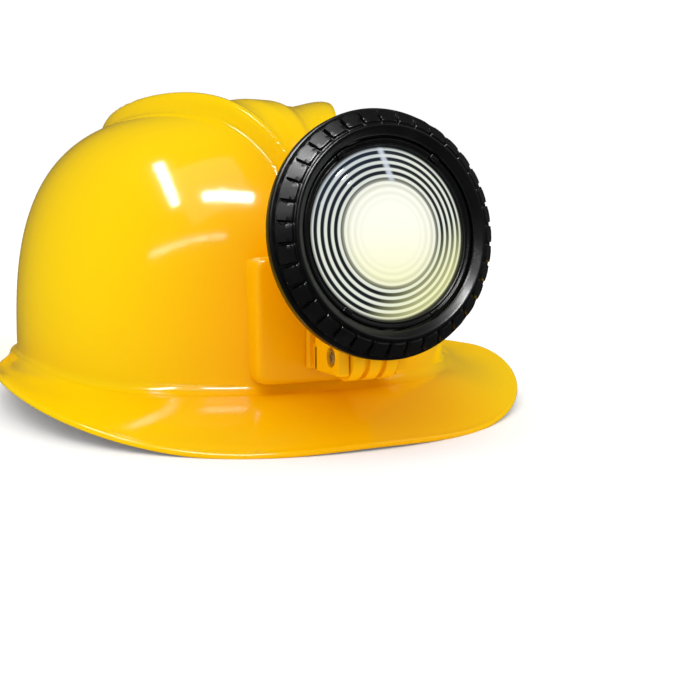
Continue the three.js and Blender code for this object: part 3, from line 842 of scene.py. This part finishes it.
def lensLook():
    look = Look("lensClear")
    r = look.attribute("fromAxis")
    x, z = look.parts(look.place())[::2]
    low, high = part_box("lens")
    half = (high[0] - low[0]) / 2
    across, above = x / half, (z - (low[2] + high[2]) / 2) / half
    # rings: bright crests and dark troughs at the ridges' pitch, drowned towards the wearer's lower left
    wave = ((r - lens["firstRidge"]) * (2 * math.pi / lens["pitch"])).maths("COSINE") * 0.5 + 0.5
    smear = look.noise(38.0, 3.0)
    flood = (across * 0.62 - above * 0.78 + (smear - 0.5) * 0.25).ramp(0.28, 0.95)
    # painted reflection: a bluish sheen over the lens's upper part, towards the wearer's right
    sheen = (above * 0.7 - across * 0.5).ramp(0.3, 0.95)
    dark = look.mix(sheen, rgb(12, 17, 20), rgb(30, 40, 58))
    dark = look.mix(flood * 0.9, dark, rgb(205, 208, 150))
    bright = look.mix(sheen, rgb(226, 232, 218), rgb(190, 200, 210))
    bright = look.mix(flood, bright, rgb(246, 246, 190))
    rings = look.mix(wave.ramp(0.3, 0.85), dark, bright)
    heart = look.mix((above * 0.9 + 0.35).ramp(-0.5, 0.6), rgb(247, 246, 182), rgb(252, 252, 238))
    faint = (1 - wave) * r.ramp(9.0, 17.0) * 0.35
    heart = look.mix(faint, heart, rgb(186, 190, 160))
    color = look.mix(r.ramp(15.5, 20.0), heart, rings)
    color = look.mix(r.ramp(28.6, 29.8) * 0.9, color, rgb(16, 18, 22))
    # painted reflection: a pale streak from the rim to the bright middle, leaning outwards at its top
    lean = (across + 0.035) + (above - 0.8) * 0.33
    streak = lean.maths("ABSOLUTE").ramp(0.055, 0.01) * above.ramp(0.5, 0.62) * r.ramp(30.0, 28.5)
    color = look.mix(streak * 0.8, color, rgb(214, 222, 232))
    base = look.mix(0.93, color, rgb(20, 20, 22))
    return look.finish(
        Base_Color=base, Roughness=0.1, Emission_Color=color, Emission_Strength=lens["glow"], IOR=1.4
    )


grid, radii = lensGrid()
makePiece("lensDome", [grid], "bezel", lensLook(), ("lens",), {"fromAxis": radii}, 60)

housing = {
    "corners": [
        (0.0, -30.4, 0.0),
        (29.4, -30.4, 1.8),
        (31.0, -28.8, 1.6),
        (32.6, -7.4, 0.5),
        (34.4, -6.0, 0.5),
        (35.5, -4.9, 0.3),
        (38.4, -4.9, 0.4),
        (38.4, -1.1, 0.4),
        (35.5, -1.1),
        (35.5, -2.3),
        (31.9, -2.3),
        (29.6, -28.2, 1.0),
        (0.0, -28.2, 0.0),
    ],
    "ribs": 40,
    "ribRaise": 0.55,
    "ribEnds": (-28.4, -7.8),  # forward distance where the ribs start and stop
    "discs": (-6.7, 0.0, 6.7),
    "halfDisc": 2.3,
    "discRadius": 9.0,
    "coreRadius": 7.2,
    "bore": 2.5,
}


def cupGrid():
    # the turned cup, with fine ribs on its side: raised where a cosine of the turn is high
    outline = roundedOutline(housing["corners"], 0.9)
    turns = np.linspace(0, 2 * np.pi, housing["ribs"] * 8 + 1)
    cup = revolve(outline, turns)
    r, forward = outline[:, 0], outline[:, 1]
    rear, front = housing["ribEnds"]
    outside = (r > 30.4) & (forward < front + 0.2) & (forward > rear - 0.2)
    share = ease(rear, rear + 1.9, forward) * ease(front, front - 1.2, forward) * outside
    swell = 0.5 + 0.5 * np.cos(turns * housing["ribs"])
    raised = housing["ribRaise"] * share[:, None] * ease(0.35, 0.75, swell)[None, :]
    cup[..., 0] += raised * np.sin(turns)[None, :]
    cup[..., 2] += raised * np.cos(turns)[None, :]
    return cup


def housingGrids():
    # the cup, three discs of a hinge knuckle turned round the pivot, and the web that joins them
    y, z = places["pivotInCap"][1:]
    core, disc, bore = housing["coreRadius"], housing["discRadius"], housing["bore"]
    profile = []
    for x in housing["discs"]:
        low, high = x - housing["halfDisc"], x + housing["halfDisc"]
        profile += [(core, low), (disc, low, 0.5), (disc, high, 0.5), (core, high)]
    profile = [(bore, profile[0][1]), *profile[1:-1], (bore, profile[-1][1])]
    knuckle = barrelAlongX(roundedOutline(profile), y, z, 72)
    web = softBlock((-7, y - 5, z + 4), (7, y + 5.5, 48.4), 0.8)
    return [fromLamp(cupGrid()), *[fromCap(grid) for grid in (knuckle, *web)]]


print("lamp housing and bracket")
makePiece("lampHousing", housingGrids(), "lamp", shellYellow, ("lamp_housing",), sharp=40)

cheek = {
    "inner": 9.4,
    "outer": 14.0,
    "front": -160.0,
    "step": -140.0,
    "bottom": 31.0,
    "neckTop": 40.5,
    "top": 44.0,
    "bore": 2.5,
    "recess": {-1: (3.6, 2.0), 1: (4.3, 2.4)},  # radius and depth, for the bolt's head and for its nut
    "round": 0.8,
}
plate = {
    "halfWidth": 12.0,
    "bottom": 30.0,
    "top": 70.0,
    "thick": 3.0,
    "screws": (50.0, 62.0),
    "boss": [(2.1, 0.0), (4.6, 0.0), (4.6, 2.5, 0.4), (2.1, 2.5, 0.2)],
}


def bossGrid(height, face):
    # a low ring round a screw, turned round a line along Y
    ring = roundedOutline(plate["boss"], 0.8, 3)
    a = fullTurn[::3][None, :]
    r, out = ring[:, 0][:, None], ring[:, 1][:, None]
    return np.stack([r * np.sin(a), face + 0.1 - out + 0 * a, height + r * np.cos(a)], -1)


def cheekGrid(side):
    # a plate pierced by the bolt: rings run from the bore through the recess out to the rectangular edge,
    # which is a superellipse of high power
    y, z = places["pivotInCap"][1:]
    turn = np.linspace(0, 2 * np.pi, 145)
    c, s = np.cos(turn), np.sin(turn)
    wide = np.where(c < 0, y - cheek["front"], cheek["step"] - y)
    tall = np.where(s < 0, z - cheek["bottom"], cheek["top"] - z)
    reach = ((np.abs(c) / wide) ** 16 + (np.abs(s) / tall) ** 16) ** (-1 / 16)
    radius, depth = cheek["recess"][side]
    outer, inner, rounding = cheek["outer"], cheek["inner"], cheek["round"]
    corner = rounding * 0.29  # how far a rounded edge's middle lies inside the sharp one
    rows = [
        (cheek["bore"], inner),
        (cheek["bore"], outer - depth),
        (radius, outer - depth),
        (radius, outer - 0.25),
        (radius + 0.25, outer),
        (reach - 2 * rounding, outer),
        (reach - rounding, outer),
        (reach - corner, outer - corner),
        (reach, outer - rounding),
        (reach, inner + rounding),
        (reach - corner, inner + corner),
        (reach - rounding, inner),
        (cheek["bore"], inner),
    ]
    return np.stack([np.stack([side * x + 0 * c, y + r * c, z + r * s], -1) for r, x in rows])


def bracketGrids():
    # back plate, neck, the yoke that joins the cheeks, the cheeks and the screw bosses
    back = pad["front"] - 0.3
    face = back - plate["thick"]
    halfWidth, outer, step = plate["halfWidth"], cheek["outer"], cheek["step"]
    bottom, neckTop = cheek["bottom"], cheek["neckTop"]
    grids = softBlock((-halfWidth, face, plate["bottom"]), (halfWidth, back, plate["top"]), 0.9)
    grids += softBlock((-10, step - 2, bottom), (10, face + 1, neckTop), 0.8)
    grids += softBlock((-outer, step - 2.5, bottom), (outer, step, neckTop), 0.6)
    grids += [cheekGrid(side) for side in (-1, 1)]
    grids += [bossGrid(height, face) for height in plate["screws"]]
    return [fromCap(grid) for grid in grids]


makePiece("lampBracket", bracketGrids(), "helmet", shellYellow, ("lamp_bracket",), sharp=40)


def steelLook():
    look = Look("brightSteel")
    cloud = look.noise(180.0, 4.0)
    streak = look.noise(1200.0, 2.0)
    base = look.mix(cloud, rgb(150, 148, 146), rgb(190, 186, 180))
    rough = 0.24 + cloud * 0.18 + streak * 0.08
    return look.finish(Base_Color=base, Roughness=rough, Metallic=1.0, Normal=look.bump(streak, 0.08, 0.0002))


bolt = {
    "headRadius": 2.8,
    "rimDrop": (0.25, 1.3, 1.3),  # how far the last rings lie behind the face
    "faceDepth": 0.45,  # the head's face lies this far inside the cheek's outer side
    "crown": 0.35,
    "crossDepth": 0.9,
    "crossReach": 1.8,
    "crossHalf": 0.42,
    "shank": [(0, -13.0), (2.2, -13.0), (2.2, 13.0), (1.8, 13.2), (0, 13.2)],
}


def boltGrids():
    # a pan head facing along -X: rings from the middle, sunk where they fall inside a cross; a turned shank
    y, z = places["pivotInCap"][1:]
    radius, reach, half = bolt["headRadius"], bolt["crossReach"], bolt["crossHalf"]
    turn = np.linspace(0, 2 * np.pi, 193)
    radii = np.concatenate([np.linspace(0, radius * 0.94, 40), [radius] * 3])
    drop = np.concatenate([np.zeros(40), bolt["rimDrop"]])
    a, b = radii[:, None] * np.cos(turn)[None, :], radii[:, None] * np.sin(turn)[None, :]

    def arm(narrow, long):
        sides = ease(half + 0.12, half - 0.12, np.abs(narrow))
        return sides * ease(reach + 0.1, reach - 0.2, np.abs(long))

    sunk = bolt["crossDepth"] * np.maximum(arm(a, b), arm(b, a)) * (radii < radius * 0.95)[:, None]
    crown = bolt["crown"] * (radii / radius) ** 2
    level = bolt["faceDepth"] - cheek["outer"] + (drop + crown)[:, None] + sunk
    face = np.stack([level, y + a, z + b], -1)
    close = np.stack([level[-1], y + 0 * turn, z + 0 * turn], -1)
    head = np.concatenate([face, close[None]])
    shank = barrelAlongX(np.array(bolt["shank"]), y, z, 48)
    return [fromCap(head), fromCap(shank)]


steel = steelLook()
makePiece("pivotBolt", boltGrids(), "lamp", steel, ("pivot_bolt",))

band = {"halfWidth": 80.0, "halfLength": 100.0, "power": 2.1, "thick": 2.0}
strap = {
    "width": 20.0,
    "thick": 1.2,
    "reach": 100.0,
    "base": 51.6,
    "rise": 68.0,
    "under": 3.0,  # the lower strap passes this far below the upper one
    "sewn": 0.085,  # share of the arch where each end is turned back
    "backThick": 1.0,
}
sweat = {
    "from": 205,
    "to": 335,
    "bottom": 21.0,
    "top": 51.0,
    "thick": 5.0,
    "edge": 1.6,
    "channel": 24,  # distance between the sewn channels
    "channelDepth": 0.35,  # share of the thickness
    "endRound": 7,
}


def bandRadius(angle, inset):
    # superellipse outline of the headband
    across = np.abs(np.cos(angle)) / (band["halfWidth"] - inset)
    along = np.abs(np.sin(angle)) / (band["halfLength"] - inset)
    return (across ** band["power"] + along ** band["power"]) ** (-1 / band["power"])


def runAlong(path):
    # distance along a path, starting at 0
    return np.concatenate([[0], np.cumsum(np.linalg.norm(np.diff(path, axis=0), axis=1))])


def closeEnds(tube):
    # adds a row at each end of a tube with all its points at that end's middle
    first, last = (np.repeat(row.mean(0, keepdims=True), len(row), 0)[None] for row in (tube[0], tube[-1]))
    return np.concatenate([first, tube, last])


def weaveOf(grid, run, across):
    # distance along and across the cloth in metres, for its pattern; the end rows repeat the first and last
    weave = np.zeros(grid.shape)
    weave[..., 0] = np.concatenate([run[:1], run, run[-1:]])[:, None] / 1000
    weave[..., 1] = across / 1000
    return weave.reshape(-1, 3)


def strapGrid(turn, under, low, high, offset, thick):
    # the arch: reach follows cos^0.75 and height follows sine; a flat strap with rounded edges rides on it
    t = np.linspace(low, high, 140) * np.pi
    reach = np.sign(np.cos(t)) * np.abs(np.cos(t)) ** 0.75 * (strap["reach"] - thick / 2 - offset)
    rise = strap["base"] + np.sin(t) * (strap["rise"] - under - thick / 2 - offset)
    c, s = math.cos(math.radians(turn)), math.sin(math.radians(turn))
    path = np.stack([reach * c, reach * s, rise], -1)
    tangent = np.gradient(path, axis=0)
    tangent /= np.linalg.norm(tangent, axis=1, keepdims=True)
    side = np.tile([-s, c, 0.0], (len(t), 1))
    up = np.cross(tangent, side)
    w, h = strap["width"] / 2, thick / 2
    section = roundedOutline([(-w, -h, 0.5), (w, -h, 0.5), (w, h, 0.5), (-w, h, 0.5)], 2.0, 3)
    a, b = section[:, 0][None, :, None], section[:, 1][None, :, None]
    grid = closeEnds(path[:, None] + side[:, None] * a + up[:, None] * b)
    return fromCap(grid), weaveOf(grid, runAlong(path), section[:, 0][None, :])


def webbingLook():
    look = Look("webbing")
    along, across = look.parts(look.attribute("weave", "Vector"))[:2]
    # rows of slanted threads that change their slant every 2.5 mm across, and a stitch line near each edge
    fold = (across * (1 / 0.0025)).maths("PINGPONG", 1.0)
    threads = ((along * (1 / 0.0011) + fold * 1.6) * (2 * math.pi)).maths("SINE") * 0.5 + 0.5
    gaps = (across * (2 * math.pi / 0.00125)).maths("COSINE") * 0.5 + 0.5
    height = threads * 0.6 + gaps * 0.4
    line = (across.maths("ABSOLUTE") - 0.0078).maths("ABSOLUTE").ramp(0.0006, 0.0002)
    stitch = line * (along * (2 * math.pi / 0.0032)).maths("SINE").ramp(-0.2, 0.2)
    fuzz = look.noise(700.0, 3.0)
    base = look.mix(height, rgb(14, 15, 17), rgb(44, 45, 49))
    base = look.mix(fuzz * 0.35, base, rgb(62, 62, 66))
    base = look.mix(stitch * 0.7, base, rgb(120, 118, 112))
    relief = look.bump(height + stitch * 0.6, 0.7, 0.0005)
    return look.finish(Base_Color=base, Roughness=0.86, Normal=relief, Sheen_Weight=0.25)


def sweatGrid():
    # thickness follows a pillow: thin sewn edges, crowned middle, shallow cross channels every 24 mm
    turn = np.radians(np.linspace(sweat["from"], sweat["to"], 220))
    outer = bandRadius(turn, band["thick"] + 0.45)
    run = runAlong(np.stack([outer * np.cos(turn), outer * np.sin(turn)], -1))
    pitch = sweat["channel"]
    channel = 1 - sweat["channelDepth"] * np.exp(-((((run % pitch) - pitch / 2) / 1.6) ** 2))
    ends = np.clip(np.minimum(run, run[-1] - run) / sweat["endRound"], 0, 1)
    full = np.sqrt(1 - (1 - ends) ** 2)
    v = np.linspace(0, 1, 33)
    pillow = np.sin(np.pi * v) ** 0.4
    bead = np.exp(-(((np.minimum(v, 1 - v) - 0.07) / 0.03) ** 2))
    crowned = (sweat["thick"] - sweat["edge"]) * pillow[None, :] * (channel * full)[:, None]
    depth = sweat["edge"] + crowned - 0.5 * bead
    middle, half = (sweat["top"] + sweat["bottom"]) / 2, (sweat["top"] - sweat["bottom"]) / 2
    z = middle - half * np.cos(np.pi * v)[None, :] * (0.82 + 0.18 * full)[:, None]
    c, s, wall = np.cos(turn)[:, None], np.sin(turn)[:, None], outer[:, None]
    face = np.stack([(wall - depth) * c, (wall - depth) * s, z], -1)
    back = np.stack([wall * c + 0 * z, wall * s + 0 * z, z], -1)
    grid = closeEnds(np.concatenate([face, back[:, ::-1], face[:, :1]], 1))
    return fromCap(grid), weaveOf(grid, run, grid[..., 2])


def sweatLook():
    look = Look("sweatFabric")
    along, up = look.parts(look.attribute("weave", "Vector"))[:2]
    knit = (along * (2 * math.pi / 0.0016)).maths("SINE") * (up * (2 * math.pi / 0.0016)).maths("SINE")
    holes = (knit * 0.5 + 0.5).ramp(0.72, 0.92)
    nap = look.noise(500.0, 4.0)
    base = look.mix(nap, rgb(38, 38, 41), rgb(66, 66, 70))
    base = look.mix(holes, base, rgb(12, 12, 13))
    middle = (sweat["top"] + sweat["bottom"]) / 2000
    line = ((up - middle).maths("ABSOLUTE") - 0.0128).maths("ABSOLUTE").ramp(0.0006, 0.0002)
    seam = line * (along * (2 * math.pi / 0.003)).maths("SINE").ramp(-0.2, 0.3)
    base = look.mix(seam * 0.8, base, rgb(150, 148, 142))
    relief = look.bump(nap * 0.5 - holes * 0.6 + seam * 0.5, 0.6, 0.0006)
    return look.finish(Base_Color=base, Roughness=0.92, Sheen_Weight=0.3, Normal=relief)


print("head suspension")
webbing = webbingLook()
for name, turn, under in (("upper", 45, 0.0), ("lower", 135, strap["under"])):
    ends = ((0.004, strap["sewn"]), (1 - strap["sewn"], 0.996))
    stretches = [strapGrid(turn, under, 0, 1, 0.0, strap["thick"])]
    for low, high in ends:
        stretches.append(strapGrid(turn, under, low, high, strap["thick"] + 0.02, strap["backThick"]))
    grids, weaves = zip(*stretches)
    values = {"weave": np.concatenate(weaves)}
    stands = ("crown_strap_" + name,)
    makePiece("crownStrap_" + name, grids, "helmet", webbing, stands, values, 40)

grid, weave = sweatGrid()
sweatPiece = makePiece(
    "sweatPad", [grid], "helmet", sweatLook(), ("sweatband",), {"weave": weave}, 60
)

bandBlack = blackPlastic("bandBlack", 0.42, 0.8)
refine("headband", "helmet", bandBlack, 0.5)
refine("nape_band", "nape", bandBlack, 0.5)
for number in (1, 2, 3, 4):
    refine("hanger_%d" % number, "helmet", bandBlack, 0.7)


def plainLook(name, dark, light, rough, scale, metallic=0.0, dent=0.15, **extra):
    # cloudy colour between dark and light, with fine dents nine times smaller than the clouds
    look = Look(name)
    cloud = look.noise(scale, 4.0)
    base = look.mix(cloud, rgb(*dark), rgb(*light))
    relief = look.bump(look.noise(scale * 9, 2.0), dent, 0.0003)
    return look.finish(
        Base_Color=base, Roughness=rough + cloud * 0.12, Metallic=metallic, Normal=relief, **extra
    )


pegWhite = plainLook("pegWhite", (214, 210, 200), (234, 231, 222), 0.38, 90.0)
for side in ("left", "right"):
    refine("nape_peg_" + side, "nape", pegWhite, 0.35)

boot = {"radius": 4.45, "low": 27.7, "top": 34.9, "behind": 17.0, "grooves": 3, "round": 0.9}


def buttonGrid():
    # a rubber cap turned round its own axis: crowned top with shallow rings, rounded edge, plain skirt
    radius, low, top, rounding = (boot[key] for key in ("radius", "low", "top", "round"))
    flat = radius - rounding
    r = np.linspace(0, flat, 50)
    rings = 0.16 * (0.5 - 0.5 * np.cos(2 * np.pi * r / flat * boot["grooves"]))
    crown = np.stack([r, top - rings - 0.5 * (r / radius) ** 2], -1)
    turn = np.radians(np.linspace(80, 0, 8))
    edge = np.stack([flat + rounding * np.cos(turn), top - 1.35 + rounding * np.sin(turn)], -1)
    skirt = [(radius, low + 0.3), (radius - 0.3, low), (0, low)]
    outline = np.concatenate([crown, edge, skirt])
    a = np.linspace(0, 2 * np.pi, 65)[None, :]
    r, z = outline[:, 0][:, None], outline[:, 1][:, None]
    return np.stack([r * np.sin(a), boot["behind"] + r * np.cos(a), z + 0 * a], -1)


bootRubber = plainLook("bootRubber", (16, 16, 17), (32, 32, 33), 0.6, 300.0)
makePiece(
    "switchBoot", [fromLamp(buttonGrid())], "button", bootRubber, ("switch_button",), sharp=50
)

print("inner parts")
bulbGlow = {"Emission_Color": rgb(255, 240, 200), "Emission_Strength": 1.0}
inner = {
    "reflector": plainLook("mirrorCoat", (222, 224, 228), (240, 241, 243), 0.05, 40.0, 1.0, 0.02),
    "gasket": plainLook("gasketRubber", (24, 24, 25), (38, 38, 39), 0.7, 200.0),
    "bulb": plainLook("bulbGlass", (250, 236, 200), (255, 248, 226), 0.12, 60.0, 0.0, 0.02, **bulbGlow),
    "switch_body": plainLook("switchGrey", (120, 118, 114), (146, 144, 140), 0.5, 150.0),
    "bulb_holder": pegWhite,
    "cell_tray": pegWhite,
    "pivot_nut": steel,
}
cellSleeve = plainLook("cellSleeve", (36, 66, 110), (52, 86, 132), 0.3, 120.0)
for number in ("1", "2"):
    inner["cell_" + number] = cellSleeve
    for node in ("cell_spring_", "contact_strip_", "bracket_washer_", "bracket_screw_"):
        inner[node + number] = steel
for node, material in inner.items():
    for slot in frame["nodes"][node].material_slots:
        slot.material = material
